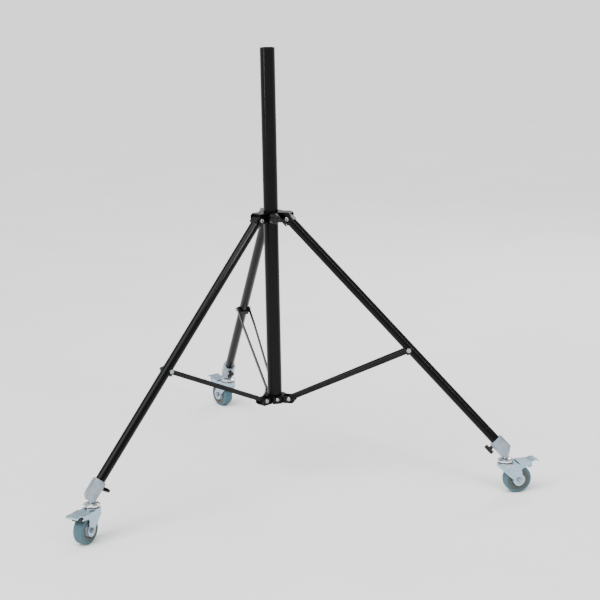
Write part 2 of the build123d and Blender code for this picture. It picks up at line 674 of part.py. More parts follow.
def make_brake_pedal():
    """Pressed pedal: top plate with side lips, two ears on the pin, and the upturned tongue."""
    start = TRAIL - 1.0
    plate_end = TRAIL + 35.0
    lip_depth = 6.0
    ear_r = 3.6
    ear_y = FORK_GAP - 0.6 - PEDAL_SHEET / 2
    tongue = [(plate_end - 5, PEDAL_TOP), (plate_end + 6, PEDAL_TOP + 3.2),
              (plate_end + 14, PEDAL_TOP + 4.2), (plate_end + 23, PEDAL_TOP + 0.5)]
    with BuildPart() as pedal:
        with BuildSketch(Plane.XY.offset(PEDAL_TOP - lip_depth)):
            with Locations((start, 0)):
                Rectangle(plate_end - start, 2 * PEDAL_HALF, align=(Align.MIN, Align.CENTER))
        extrude(amount=lip_depth)
        with BuildSketch(Plane.XY.offset(PEDAL_TOP - lip_depth)):
            with Locations((start - 1, 0)):
                Rectangle(plate_end - start + 2, 2 * (FORK_HALF + 0.3), align=(Align.MIN, Align.CENTER))
        extrude(amount=lip_depth - PEDAL_SHEET, mode=Mode.SUBTRACT)
        with BuildSketch(SIDE):
            with BuildLine():
                Spline(*tongue)
                Spline(*[(x, z - PEDAL_SHEET) for x, z in tongue])
                Line(tongue[0], (tongue[0][0], tongue[0][1] - PEDAL_SHEET))
                Line(tongue[-1], (tongue[-1][0], tongue[-1][1] - PEDAL_SHEET))
            make_face()
        extrude(amount=TONGUE_HALF, both=True)
        for ear in (-1, 1):
            with BuildSketch(SIDE.offset(ear * ear_y)):
                with Locations(PEDAL_PIVOT):
                    Circle(ear_r)
                    Rectangle(2 * ear_r, PEDAL_TOP - PEDAL_PIVOT[1] - 1, align=(Align.CENTER, Align.MIN))
            extrude(amount=PEDAL_SHEET / 2, both=True)
        with BuildSketch(SIDE):
            with Locations(PEDAL_PIVOT):
                Circle(PEDAL_PIN_R)
        extrude(amount=FORK_HALF, both=True)
    return pedal


def make_brake_pad():
    """Moulded pad under the pedal, hollowed to the tread."""
    with BuildPart() as pad:
        with BuildSketch(SIDE):
            with Locations((TRAIL + 27, PEDAL_TOP - PEDAL_SHEET - SEAT)):
                Rectangle(18, PAD_DEPTH, align=(Align.CENTER, Align.MAX))
            with Locations((TRAIL, AXLE_Z)):
                Circle(WHEEL_R + PAD_GAP, mode=Mode.SUBTRACT)
        extrude(amount=FORK_GAP - 1.5, both=True)
    return pad


# ---------------------------------------------------------------- build everything
os.makedirs("parts", exist_ok=True)
save(make_column_tube().part, "column_tube")
save(make_column_end_plug().part, "column_end_plug")
save(make_lower_hub().part, "lower_hub")
save(make_lower_hub_fasteners().part, "lower_hub_fasteners")
save(make_collar_body().part, "collar_body")
save(make_collar_liner().part, "collar_liner")
save(make_pivot_bolts(COLLAR_PIVOT_R, COLLAR_PIVOT_Z, COLLAR_LUG_HALF).part, "upper_pivot_bolts")
save(make_clamp_knob().part.rotate(Axis.Z, KNOB_AZIMUTH), "clamp_knob")
save(make_clamp_screw().part.rotate(Axis.Z, KNOB_AZIMUTH), "clamp_screw")
save_on_legs(make_leg_tube(), "leg_tube")
save_on_legs(make_leg_top_fitting(), "leg_top_fitting")
save_on_legs(make_brace_clip(), "brace_clip")
save_on_legs(make_caster_socket(), "caster_socket")
thumb_screw_wing = make_thumb_screw_wing()
thumb_axis = Axis(thumb_plane(0).origin, thumb_plane(0).z_dir)
for side, azimuth in LEG_AZIMUTH.items():
    turned = thumb_screw_wing.part.rotate(thumb_axis, THUMB_TURN[side])
    save(turned.rotate(Axis.Z, azimuth), f"{side}_thumb_screw_wing")
save_on_legs(make_thumb_screw_stud(), "thumb_screw_stud")
save_on_legs(make_brace_bar(-1), "brace_bar_near")
save_on_legs(make_brace_bar(1), "brace_bar_far")
for side, azimuth in LEG_AZIMUTH.items():
    save(make_brace_rivets(HEAD_SIDE[side]).part.rotate(Axis.Z, azimuth), f"{side}_brace_rivets")
save_on_casters(make_caster_stem(), "caster_stem")
save_on_casters(make_swivel_bearing(), "swivel_bearing")
save_on_casters(make_caster_fork(), "caster_fork")
save_on_casters(make_axle_bolt(), "axle_bolt")
save_on_casters(make_wheel_hub(), "wheel_hub")
save_on_casters(make_tyre(), "tyre")
save_on_casters(make_brake_pedal(), "brake_pedal")
save_on_casters(make_brake_pad(), "brake_pad")

print("collar travel", round(COLLAR_TRAVEL, 3))
print("leg fold angle", round(LEG_ANGLE - FOLDED_ANGLE, 4))
print("brace fold angle", round(degrees(BRACE_TILT - FOLDED_BRACE), 4))
print("clip at", round(CLIP_R, 3), round(CLIP_Z, 3), "brace length", round(BRACE_LENGTH, 3))
print("elbow height", round(ELBOW_Z, 3))
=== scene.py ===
import json
import math

import bmesh
import bpy
from mathutils import Matrix, Vector


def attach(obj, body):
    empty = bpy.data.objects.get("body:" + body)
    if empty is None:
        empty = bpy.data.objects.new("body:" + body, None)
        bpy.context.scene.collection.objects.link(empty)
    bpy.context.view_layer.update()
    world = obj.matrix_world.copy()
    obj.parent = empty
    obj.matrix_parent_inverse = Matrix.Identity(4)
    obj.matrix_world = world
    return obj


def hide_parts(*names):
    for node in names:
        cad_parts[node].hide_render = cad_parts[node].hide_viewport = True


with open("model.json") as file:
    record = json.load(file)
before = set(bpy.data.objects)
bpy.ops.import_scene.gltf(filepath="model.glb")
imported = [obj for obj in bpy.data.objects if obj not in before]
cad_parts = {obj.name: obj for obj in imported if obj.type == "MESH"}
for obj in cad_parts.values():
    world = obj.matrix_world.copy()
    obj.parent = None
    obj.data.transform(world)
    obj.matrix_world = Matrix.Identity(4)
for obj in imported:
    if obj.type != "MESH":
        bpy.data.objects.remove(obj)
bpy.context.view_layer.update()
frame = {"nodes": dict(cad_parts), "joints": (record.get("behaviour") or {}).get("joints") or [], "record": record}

# A wheeled tripod base of a background stand: black powder coated tubes, cast fittings,
# flat braces and zinc plated swivel casters. Metres; Z up; the column stands on the origin.

MM = 0.001
SIDES = ("right", "rear", "left")
JOINTS = {joint["name"]: joint for joint in frame["joints"]}


# ---------------------------------------------------------------- places read from the frame
def pivot(joint_name):
    return Vector(JOINTS[joint_name]["pos_m"])


def turning_axis(joint_name):
    return Vector(JOINTS[joint_name]["axis"]).normalized()


def frame_along(origin, z_axis, x_hint):
    """Matrix whose local Z runs along z_axis and whose local X is x_hint made square to it."""
    z_axis = z_axis.normalized()
    x_axis = (x_hint - z_axis * x_hint.dot(z_axis)).normalized()
    y_axis = z_axis.cross(x_axis)
    turn = Matrix((x_axis, y_axis, z_axis)).transposed().to_4x4()
    return Matrix.Translation(origin) @ turn


def wheel_frame(side):
    """Local Z along the axle, local X level and away from the swivel axis."""
    axle = pivot(f"{side}_wheel_spin")
    swivel = pivot(f"{side}_caster_swivel")
    trail = Vector((axle.x - swivel.x, axle.y - swivel.y, 0))
    return frame_along(axle, turning_axis(f"{side}_wheel_spin"), trail)


# ---------------------------------------------------------------- colour and node helpers
def colour(hex_code):
    """sRGB hex to the linear colour that shaders use."""
    channels = [int(hex_code[i:i + 2], 16) / 255 for i in (1, 3, 5)]
    linear = [c / 12.92 if c <= 0.04045 else ((c + 0.055) / 1.055) ** 2.4 for c in channels]
    return (*linear, 1.0)


def add_node(tree, kind, inputs=None):
    """Adds a node and sets each given input, or links it where the value is another node's output."""
    node = tree.nodes.new(kind)
    for name, value in (inputs or {}).items():
        if isinstance(value, bpy.types.NodeSocket):
            tree.links.new(value, node.inputs[name])
        else:
            node.inputs[name].default_value = value
    return node


def grain(tree, size_mm, detail):
    """Noise whose lumps are size_mm across, in the object's own metres."""
    place = add_node(tree, "ShaderNodeTexCoord")
    noise = add_node(tree, "ShaderNodeTexNoise", inputs={
        "Vector": place.outputs["Object"], "Scale": 1 / (size_mm * MM), "Detail": detail,
        "Roughness": 0.55})
    return noise.outputs["Fac"]


def new_material(name, colours, patch, rough, rough_patch=None, relief=None, shader_inputs=None):
    """Material whose colour and roughness wander from patch to patch, with relief in its skin.

    colours are the two hex ends, and rough is the lowest and highest roughness. A patch is its noise's
    (size in mm, detail), and relief is (size in mm, detail, depth in mm, strength).
    """
    material = bpy.data.materials.new(name)
    material.use_nodes = True
    tree = material.node_tree
    tree.nodes.clear()
    wander = grain(tree, *patch)
    ramp = add_node(tree, "ShaderNodeValToRGB", inputs={"Fac": wander})
    for element, position, hex_code in zip(ramp.color_ramp.elements, (0.35, 0.65), colours):
        element.position = position
        element.color = colour(hex_code)
    roughness = add_node(tree, "ShaderNodeMapRange", inputs={
        "Value": grain(tree, *rough_patch) if rough_patch else wander,
        "To Min": rough[0], "To Max": rough[1]})
    inputs = {"Base Color": ramp.outputs["Color"], "Roughness": roughness.outputs["Result"]}
    if relief:
        size_mm, detail, depth_mm, strength = relief
        skin = add_node(tree, "ShaderNodeBump", inputs={
            "Height": grain(tree, size_mm, detail), "Distance": depth_mm * MM, "Strength": strength})
        inputs["Normal"] = skin.outputs["Normal"]
    shader = add_node(tree, "ShaderNodeBsdfPrincipled", inputs={**inputs, **(shader_inputs or {})})
    add_node(tree, "ShaderNodeOutputMaterial", inputs={"Surface": shader.outputs["BSDF"]})
    return material


# ---------------------------------------------------------------- finishes
def gloss_black_powder_coat():
    """Baked powder coat: deep black, glossy, with the faint orange peel that ripples a reflection."""
    return new_material(
        "gloss_black_powder_coat", ("#040405", "#070708"), patch=(60, 4), rough=(0.12, 0.2),
        relief=(3.5, 2, 0.05, 0.3), shader_inputs={"IOR": 1.5, "Specular IOR Level": 0.12})


def satin_black_cast_paint(name, colours, rough):
    """Spray paint over die cast alloy: satin, with the casting's fine pebble showing through."""
    return new_material(
        name, colours, patch=(24, 4), rough=(rough - 0.05, rough + 0.08),
        relief=(0.9, 3, 0.08, 0.45), shader_inputs={"IOR": 1.48, "Specular IOR Level": 0.14})


def silver_cast_lacquer():
    """Silver-grey lacquer on a cast socket: flake gives a soft metallic sheen, casting pebble below."""
    return new_material(
        "silver_cast_lacquer", ("#7a8690", "#8f9ba5"), patch=(18, 4), rough=(0.32, 0.48),
        rough_patch=(0.7, 2), relief=(0.7, 2, 0.06, 0.35),
        shader_inputs={"Metallic": 0.55, "Coat Weight": 0.25, "Coat Roughness": 0.2})


def blue_white_zinc():
    """Blue-white zinc plate on pressed steel: pale, cool and cloudy, half matte."""
    return new_material(
        "blue_white_zinc_plate", ("#93adbe", "#a9c1cf"), patch=(9, 5), rough=(0.24, 0.42),
        relief=(0.8, 2, 0.03, 0.3), shader_inputs={"Metallic": 0.85})


def polished_chrome():
    """Bright chrome plate on a turned cap: mirror reflections with a hint of haze."""
    return new_material(
        "polished_chrome_plate", ("#d3d6da", "#e6e8ea"), patch=(14, 3), rough=(0.05, 0.12),
        shader_inputs={"Metallic": 1.0})


def bright_plated_steel():
    """Bright plated fasteners: shiny steel with small handling marks."""
    return new_material(
        "bright_plated_steel", ("#85898d", "#a4a8ab"), patch=(2.2, 5), rough=(0.16, 0.32),
        relief=(2.2, 5, 0.02, 0.3), shader_inputs={"Metallic": 1.0})


def moulded_plastic(name, colours, rough):
    """Injection moulded nylon: even colour, fine spark-eroded texture, soft shine."""
    return new_material(
        name, colours, patch=(15, 3), rough=(rough - 0.05, rough + 0.08),
        relief=(0.6, 2, 0.05, 0.4), shader_inputs={"IOR": 1.53, "Specular IOR Level": 0.25})


def soft_rubber(name, colours, rough):
    """Thermoplastic rubber: dull, a little dusty, with scuffs that lighten it."""
    return new_material(
        name, colours, patch=(5, 6), rough=(rough - 0.08, rough + 0.1),
        relief=(0.7, 2, 0.05, 0.4), shader_inputs={"IOR": 1.5})


POWDER_COAT = gloss_black_powder_coat()
CAST_BLACK = satin_black_cast_paint("satin_black_cast_paint", ("#060607", "#0b0b0c"), 0.38)
BAR_PAINT = satin_black_cast_paint("matte_grey_bar_coat", ("#0e0e10", "#161619"), 0.4)
SOCKET_SILVER = silver_cast_lacquer()
ZINC = blue_white_zinc()
CHROME = polished_chrome()
FASTENER = bright_plated_steel()
NYLON = moulded_plastic("black_moulded_nylon", ("#050506", "#0a0a0b"), 0.3)
HUB_NYLON = moulded_plastic("pale_grey_moulded_hub", ("#aab6bd", "#bec9ce"), 0.4)
TREAD = soft_rubber("grey_blue_tread_rubber", ("#36565f", "#3e5f69"), 0.62)
SIDE_BAND = soft_rubber("olive_grey_core_plastic", ("#3c3f3b", "#474a45"), 0.55)
PAD_RUBBER = soft_rubber("black_pad_rubber", ("#151516", "#222223"), 0.62)

FINISH = {
    "column_tube": POWDER_COAT, "column_end_plug": NYLON, "lower_hub": CAST_BLACK,
    "lower_hub_fasteners": FASTENER, "collar_body": POWDER_COAT, "collar_liner": NYLON,
    "upper_pivot_bolts": FASTENER, "clamp_knob": NYLON, "clamp_screw": FASTENER,
    "leg_tube": POWDER_COAT, "leg_top_fitting": NYLON, "brace_clip": CAST_BLACK,
    "caster_socket": SOCKET_SILVER, "caster_stem": CHROME, "brace_bar_near": BAR_PAINT,
    "brace_bar_far": BAR_PAINT, "brace_rivets": FASTENER, "thumb_screw_wing": NYLON,
    "thumb_screw_stud": FASTENER, "caster_fork": ZINC, "axle_bolt": FASTENER,
    "swivel_bearing": FASTENER, "wheel_hub": HUB_NYLON, "tyre": TREAD,
    "brake_pedal": ZINC, "brake_pad": PAD_RUBBER,
}


def plain_name(node):
    """The node's name without its side."""
    head, _, rest = node.partition("_")
    return rest if head in SIDES else node


for node_name, node_object in frame["nodes"].items():
    node_object.data.materials.clear()
    node_object.data.materials.append(FINISH[plain_name(node_name)])

BODY_OF = {node: body for body, nodes in frame["record"]["behaviour"]["bodies"].items() for node in nodes}


# ---------------------------------------------------------------- softened castings and pressings
# Corner radius in millimetres that foundry, press or mould leaves on a piece; the others have none.
EDGE_RADIUS = {
    "lower_hub": 1.0, "collar_body": 1.2, "brace_clip": 0.6, "leg_top_fitting": 0.6,
    "brace_bar_near": 0.5, "brace_bar_far": 0.5, "brace_rivets": 0.6, "caster_fork": 0.5,
    "brake_pedal": 0.4, "brake_pad": 1.2, "thumb_screw_wing": 0.6,
}
SAME_POINT_MM = 0.002
FLAT_ANGLE = math.radians(1.0)      # faces that meet at less than this are one face
SMOOTH_ANGLE = math.radians(32)     # an edge that turns by less than this is shaded smooth
CORNER_ANGLE = math.radians(35)     # an edge that turns by more than this is rounded


def smooth_between_corners(shape):
    for face in shape.faces:
        face.smooth = True
    for edge in shape.edges:
        edge.smooth = len(edge.link_faces) == 2 and edge.calc_face_angle(0) < SMOOTH_ANGLE


def put_in_place(piece, node):
    """The piece moves with the node's body and is shown instead of the node."""
    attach(piece, BODY_OF[node])
    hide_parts(node)


def soften(node):
    """A merged copy of a node with its corners rounded, shown in the node's place."""
    mesh = frame["nodes"][node].data.copy()
    piece = bpy.data.objects.new(f"{node}_finished", mesh)
    bpy.context.scene.collection.objects.link(piece)
    shape = bmesh.new()
    shape.from_mesh(mesh)
    bmesh.ops.remove_doubles(shape, verts=shape.verts, dist=SAME_POINT_MM * MM)
    bmesh.ops.dissolve_limit(shape, angle_limit=FLAT_ANGLE, verts=shape.verts, edges=shape.edges)
    smooth_between_corners(shape)
    shape.to_mesh(mesh)
    shape.free()
    radius = EDGE_RADIUS.get(plain_name(node))
    if radius:
        rounding = piece.modifiers.new("rounded corners", "BEVEL")
        rounding.width = radius * MM
        rounding.segments = 3
        rounding.limit_method = "ANGLE"
        rounding.angle_limit = CORNER_ANGLE
        rounding.harden_normals = True
        rounding.use_clamp_overlap = True
    # Without this a small fillet bends the shading right across the flat beside it.
    flats = piece.modifiers.new("flat faces stay flat", "WEIGHTED_NORMAL")
    flats.mode = "FACE_AREA"
    flats.weight = 100
    flats.keep_sharp = True
    put_in_place(piece, node)


# ---------------------------------------------------------------- turned and repeated shapes
SEGMENTS = 72


def ring_points(radius, height, sides=0):
    """One ring of a turned shape, round or with flats; radius is to the corners, in millimetres."""
    points = []
    for step in range(SEGMENTS):
        angle = 2 * math.pi * step / SEGMENTS
        reach = radius
        if sides:
            half = math.pi / sides
            reach = radius * math.cos(half) / math.cos(angle % (2 * half) - half)
        points.append((reach * math.cos(angle) * MM, reach * math.sin(angle) * MM, height * MM))
    return points


def turned(name, rows, materials, closed=False):
    """Mesh turned about local Z from rows of (radius, height, flats, material index).

    A row may leave out its last values: it is then round, and of the first material.
    """
    rows = [(*row, 0, 0)[:4] for row in rows]
    shape = bmesh.new()
    rings = [[shape.verts.new(point) for point in ring_points(*row[:3])] for row in rows]
    pairs = list(zip(rows, rings, rings[1:]))
    if closed:
        pairs.append((rows[-1], rings[-1], rings[0]))
    for row, ring, following in pairs:
        for step in range(SEGMENTS):
            after = (step + 1) % SEGMENTS
            face = shape.faces.new((ring[step], ring[after], following[after], following[step]))
            face.material_index = row[3]
    if not closed:
        shape.faces.new(reversed(rings[0])).material_index = rows[0][3]
        shape.faces.new(rings[-1]).material_index = rows[-1][3]
    bmesh.ops.recalc_face_normals(shape, faces=shape.faces)
    mesh = bpy.data.meshes.new(name)
    shape.to_mesh(mesh)
    shape.free()
    for material in materials:
        mesh.materials.append(material)
    return mesh


def ring_tree(name, shape_kind):
    """Geometry Nodes tree: one small shape repeated round a circle.

    Size runs outwards, along the circle's axis, and round the circle.
    """
    tree = bpy.data.node_groups.new(name, "GeometryNodeTree")
    for label, kind in (("Count", "NodeSocketInt"), ("Radius", "NodeSocketFloat"),
                        ("Size", "NodeSocketVector"), ("Material", "NodeSocketMaterial")):
        tree.interface.new_socket(label, in_out="INPUT", socket_type=kind)
    tree.interface.new_socket("Geometry", in_out="OUTPUT", socket_type="NodeSocketGeometry")
    given = add_node(tree, "NodeGroupInput")
    circle = add_node(tree, "GeometryNodeCurvePrimitiveCircle", inputs={"Radius": given.outputs["Radius"]})
    points = add_node(tree, "GeometryNodeCurveToPoints", inputs={
        "Curve": circle.outputs["Curve"], "Count": given.outputs["Count"]})
    if shape_kind == "ball":
        shape = add_node(tree, "GeometryNodeMeshIcoSphere", inputs={"Radius": 1.0, "Subdivisions": 3})
    else:
        shape = add_node(tree, "GeometryNodeMeshCube")
    placed = add_node(tree, "GeometryNodeInstanceOnPoints", inputs={
        "Points": points.outputs["Points"], "Instance": shape.outputs["Mesh"],
        "Rotation": points.outputs["Rotation"], "Scale": given.outputs["Size"]})
    real = add_node(tree, "GeometryNodeRealizeInstances", inputs={"Geometry": placed.outputs["Instances"]})
    finished = add_node(tree, "GeometryNodeSetMaterial", inputs={
        "Geometry": real.outputs["Geometry"], "Material": given.outputs["Material"]})
    output = add_node(tree, "NodeGroupOutput")
    tree.links.new(finished.outputs["Geometry"], output.inputs["Geometry"])
    return tree


def repeated(tree, **values):
    """Plain mesh that the tree makes with the given inputs."""
    holder = bpy.data.objects.new("repeat_holder", bpy.data.meshes.new("repeat_holder"))
    bpy.context.scene.collection.objects.link(holder)
    modifier = holder.modifiers.new("repeat", "NODES")
    modifier.node_group = tree
    for item in tree.interface.items_tree:
        if item.in_out == "INPUT" and item.name in values:
            modifier[item.identifier] = values[item.name]
    graph = bpy.context.evaluated_depsgraph_get()
    mesh = bpy.data.meshes.new_from_object(holder.evaluated_get(graph), depsgraph=graph)
    bpy.data.objects.remove(holder)
    return mesh


def assemble(node, parts):
    """One piece in a node's place, from (mesh, place) parts."""
    mesh = bpy.data.meshes.new(f"{node}_finished")
    shape = bmesh.new()
    for part, place in parts:
        first_face = len(shape.faces)
        first_material = len(mesh.materials)
        moved = part.copy()
        moved.transform(place)
        shape.from_mesh(moved)
        shape.faces.ensure_lookup_table()
        for face in shape.faces[first_face:]:
            face.material_index += first_material
        for material in part.materials:
            mesh.materials.append(material)
    smooth_between_corners(shape)
    shape.to_mesh(mesh)
    shape.free()
    piece = bpy.data.objects.new(f"{node}_finished", mesh)
    bpy.context.scene.collection.objects.link(piece)
    put_in_place(piece, node)


def near_axis(node, place, reach_mm):
    """(distance, height) in metres, from and along the local Z axis, of a node's corners in reach."""
    source = frame["nodes"][node]
    back = place.inverted() @ source.matrix_world
    local = [back @ vertex.co for vertex in source.data.vertices]
    corners = [(math.hypot(point.x, point.y), point.z) for point in local]
    return [(away, height) for away, height in corners if away < reach_mm * MM]


def span(node, place, reach_mm):
    """Lowest and highest local Z, in millimetres, of a node's corners within reach of the local axis."""
    heights = [height for away, height in near_axis(node, place, reach_mm)]
    return min(heights) / MM, max(heights) / MM


# ---------------------------------------------------------------- bolts and screws, in millimetres
FLIP = Matrix.Rotation(math.pi, 4, "X")
TIP_R = 0.3         # a turned end closes on a disc this small, so that no ring shrinks to a point
BOLT_REACH = 8
BOLT_SHANK_R = 3.0
BOLT_TAIL = 1.0     # how far the shank stands out of its nut
HEAD_R = 6.0
HEAD_T = 3.2
NUT_R = 5.77        # to the corners of a 10 mm hexagon
NUT_T = 4.2


def turned_over(place, low, high):
    """The same room along the local Z axis, seen from its other end."""
    return place @ FLIP, -high, -low


def head_is_high(node, place, low, high):
    """Whether the round head, wider than the nut's flats, lies at the high end."""
    corners = near_axis(node, place, BOLT_REACH)
    depth = HEAD_T + 0.1
    widest_high, widest_low = (
        max((away for away, height in corners if abs(height / MM - end) < depth), default=0.0)
        for end in (high, low))
    return widest_high > widest_low


def cap_bolt(low, high):
    """Button head with a hexagon socket at the top, shank, and chamfered lock nut at the bottom."""
    socket_r = HEAD_R * 0.42
    nut_low = low + BOLT_TAIL
    nut_high = nut_low + NUT_T
    neck = high - HEAD_T
    rows = [
        (TIP_R, low), (BOLT_SHANK_R - 0.5, low), (BOLT_SHANK_R, low + 0.5), (BOLT_SHANK_R, nut_low),
        (NUT_R * 0.78, nut_low), (NUT_R, nut_low + 0.6, 6), (NUT_R, nut_high - 0.5, 6),
        (NUT_R * 0.86, nut_high), (BOLT_SHANK_R, nut_high), (BOLT_SHANK_R, neck), (HEAD_R, neck),
        (HEAD_R, high - HEAD_T * 0.62), (HEAD_R * 0.9, high - HEAD_T * 0.25), (HEAD_R * 0.7, high),
        (socket_r * 1.15, high), (socket_r, high - 0.25, 6), (socket_r, high - HEAD_T * 0.65, 6),
        (TIP_R, high - HEAD_T * 0.75, 6)]
    return turned("cap_bolt", rows, [FASTENER])


def pivot_place(side, joint):
    """Local Z along a fold joint's axis."""
    return frame_along(pivot(f"{side}_{joint}"), turning_axis(f"{side}_{joint}"), Vector((0, 0, 1)))


def pivot_bolt_part(node, place):
    """A pivot bolt that fills the room the plain one had, with its head at the same end."""
    low, high = span(node, place, BOLT_REACH)
    if not head_is_high(node, place, low, high):
        place, low, high = turned_over(place, low, high)
    return cap_bolt(low, high), place


def fixing_screw_part(step):
    """Small socket screw through one of the hub's bosses into the column."""
    outward = Matrix.Rotation(math.radians(120 * step), 3, "Z") @ turning_axis("clamp_knob_turn")
    centre = Vector((0, 0, pivot("right_brace_fold").z))
    place = frame_along(centre, outward, Vector((0, 0, 1)))
    low, high = span("lower_hub_fasteners", place, 5.2)
    shank_r, head_r, socket_r = 2.5, 4.8, 2.0
    neck = high - 3.0
    rows = [
        (TIP_R, low), (shank_r - 0.5, low), (shank_r, low + 0.5), (shank_r, neck), (head_r, neck),
        (head_r, high - 1.4), (head_r - 0.6, high - 0.5), (head_r - 1.4, high), (socket_r + 0.4, high),
        (socket_r, high - 0.3, 6), (socket_r, high - 1.8, 6), (TIP_R, high - 1.9, 6)]
    return turned("fixing_screw", rows, [FASTENER]), place


# ---------------------------------------------------------------- wheels, in millimetres
def mirrored_loop(half):
    """Closed outline from its upper half of (radius, height, material index), as rows for turning."""
    below = [(radius, -height, index) for radius, height, index in reversed(half)]
    return [(radius, height, 0, index) for radius, height, index in half + below]


def make_tyre(side):
    """Plain side band round the hub, a small step, then a tread with round shoulders."""
    band_height, tread_height = 14.1, 14.95
    shoulder_r, shoulder_steps = 6.0, 8
    shoulder_centre_r, shoulder_centre_height = 31.4, tread_height - shoulder_r
    half = [(21.1, 12.4, 0), (21.6, 13.6, 0), (22.4, band_height, 0), (29.2, band_height, 0),
            (29.7, 14.4, 0), (30.0, tread_height, 1)]
    for step in range(shoulder_steps + 1):
        angle = math.radians(90 * (1 - step / shoulder_steps))
        half.append((shoulder_centre_r + shoulder_r * math.cos(angle),
                     shoulder_centre_height + shoulder_r * math.sin(angle), 1))
    half.append((37.45, 4.0, 1))
    tyre = turned("tyre", mirrored_loop(half), [SIDE_BAND, TREAD], closed=True)
    assemble(f"{side}_tyre", [(tyre, wheel_frame(side))])


def make_wheel_hub(side, rib_tree):
    """Long centre boss, ribbed web, a groove painted black as shade, and rim."""
    boss_height, web_height, rim_height = 16.5, 9.6, 11.6
    # Rows with material index 1 give the groove's walls and floor the black nylon: painted shade in the recess
    # between web and rim.
    half = [(4.2, boss_height - 0.6, 0), (4.8, boss_height, 0), (8.8, boss_height, 0),
            (9.4, boss_height - 0.6, 0), (9.6, 9.4, 0), (10.6, 8.3, 0), (16.6, web_height, 0),
            (17.4, rim_height, 0), (18.0, rim_height, 1), (18.4, 8.4, 1), (20.2, 8.4, 1),
            (20.4, rim_height + 0.2, 0), (20.9, rim_height + 0.2, 0)]
    hub = turned("wheel_hub", mirrored_loop(half), [HUB_NYLON, NYLON], closed=True)
    place = wheel_frame(side)
    rib_size = (5.6 * MM, 19.6 * MM, 1.4 * MM)
    ribs = repeated(rib_tree, Count=8, Radius=13.0 * MM, Size=rib_size, Material=HUB_NYLON)
    assemble(f"{side}_wheel_hub", [(hub, place), (ribs, place)])


def make_swivel_bearing(side, ball_tree):
    """Ball ring between a grooved lower race and the stem's cap."""
    place = Matrix.Translation(pivot(f"{side}_caster_swivel"))
    low, high = span(f"{side}_swivel_bearing", place, 22)
    ball_r, ball_ring_r = 1.8, 16.5
    bore_r, race_r = 7.0, 21.0
    race_top = high - 3.3
    groove = race_top - 0.5
    rows = [(bore_r, low), (race_r, low), (race_r, race_top - 0.4), (race_r - 0.4, race_top),
            (18.2, race_top), (17.4, groove), (15.6, groove), (14.8, race_top), (bore_r, race_top)]
    race = turned("lower_race", rows, [FASTENER], closed=True)
    ball_size = (ball_r * MM, ball_r * MM, ball_r * MM)
    balls = repeated(ball_tree, Count=16, Radius=ball_ring_r * MM, Size=ball_size, Material=FASTENER)
    ball_place = place @ Matrix.Translation((0, 0, (high - ball_r) * MM))
    assemble(f"{side}_swivel_bearing", [(race, place), (balls, ball_place)])


def make_axle_bolt(side):
    """Hexagon head, shank and chamfered lock nut, with the nut at the bolt's longer end."""
    place = wheel_frame(side)
    node = f"{side}_axle_bolt"
    low, high = span(node, place, 9)
    if abs(high) > abs(low):
        place, low, high = turned_over(place, low, high)
    shank_r, hexagon_r, chamfer_r = 4.0, 7.5, 6.5
    nut_low, nut_high = low + 1.5, low + 7.5
    neck = high - 4.5
    rows = [
        (TIP_R, low), (shank_r - 0.6, low), (shank_r, low + 0.6), (shank_r, nut_low), (5.9, nut_low),
        (hexagon_r, low + 2.2, 6), (hexagon_r, low + 6.9, 6), (chamfer_r, nut_high),
        (shank_r, nut_high), (shank_r, neck), (chamfer_r, neck), (hexagon_r, high - 4.1, 6),
        (hexagon_r, high - 0.7, 6), (6.1, high), (4.6, high), (4.2, high - 0.5), (TIP_R, high - 0.5)]
    assemble(node, [(turned("axle_bolt", rows, [FASTENER]), place)])


# ---------------------------------------------------------------- clamp knob
def tapered_bar(name, path, material):
    """Bar with an oval section along (x, y, z, half width, half thickness) stations, in millimetres."""
    sides = 20
    shape = bmesh.new()
    rings = []
    for index, (x, y, z, half_width, half_thick) in enumerate(path):
        before = path[max(index - 1, 0)]
        after = path[min(index + 1, len(path) - 1)]
        along = Vector((after[0] - before[0], after[1] - before[1], 0)).normalized()
        across = Vector((-along.y, along.x, 0))
        ring = []
        for step in range(sides):
            angle = 2 * math.pi * step / sides
            point = Vector((x, y, z)) + across * half_width * math.cos(angle)
            point.z += half_thick * math.sin(angle)
            ring.append(shape.verts.new(point * MM))
        rings.append(ring)
    for ring, following in zip(rings, rings[1:]):
        for step in range(sides):
            after = (step + 1) % sides
            shape.faces.new((ring[step], ring[after], following[after], following[step]))
    shape.faces.new(reversed(rings[0]))
    shape.faces.new(rings[-1])
    bmesh.ops.recalc_face_normals(shape, faces=shape.faces)
    mesh = bpy.data.meshes.new(name)
    shape.to_mesh(mesh)
    shape.free()
    mesh.materials.append(material)
    return mesh


def make_clamp_knob(rib_tree):
    """Round knob with grip ribs and a curved lever that sweeps down to one side."""
    up = Vector((0, 0, 1))
    axis = turning_axis("clamp_knob_turn")
    place = frame_along(pivot("clamp_knob_turn"), axis, up.cross(axis))
    low, high = span("clamp_knob", place, 40)
    rows = [(4.2, low), (13.9, low), (15.2, low + 1.2), (15.0, low + 6.0), (14.2, high - 6.0),
            (12.6, high - 2.4), (9.6, high - 0.6), (6.4, high), (6.0, high - 0.8), (TIP_R, high - 0.8)]
    core = turned("knob_core", rows, [NYLON])
    rib_size = (1.5 * MM, 8.0 * MM, 1.6 * MM)
    ribs = repeated(rib_tree, Count=14, Radius=14.6 * MM, Size=rib_size, Material=NYLON)
    lever_reach, lever_rise, lever_drop, lever_steps = 33.5, 9.5, 24, 12
    path = []
    for step in range(lever_steps + 1):
        share = step / lever_steps
        angle = math.radians(112 - 92 * share)
        path.append((-4 + lever_reach * share, lever_rise * math.sin(angle) - lever_drop * share ** 1.6,
                     high - 3.0, 5.4 - 3.4 * share, 2.7 - 1.0 * share))
    lever = tapered_bar("knob_lever", path, NYLON)
    rib_place = place @ Matrix.Translation((0, 0, (low + 5.4) * MM))
    assemble("clamp_knob", [(core, place), (ribs, rib_place), (lever, place)])


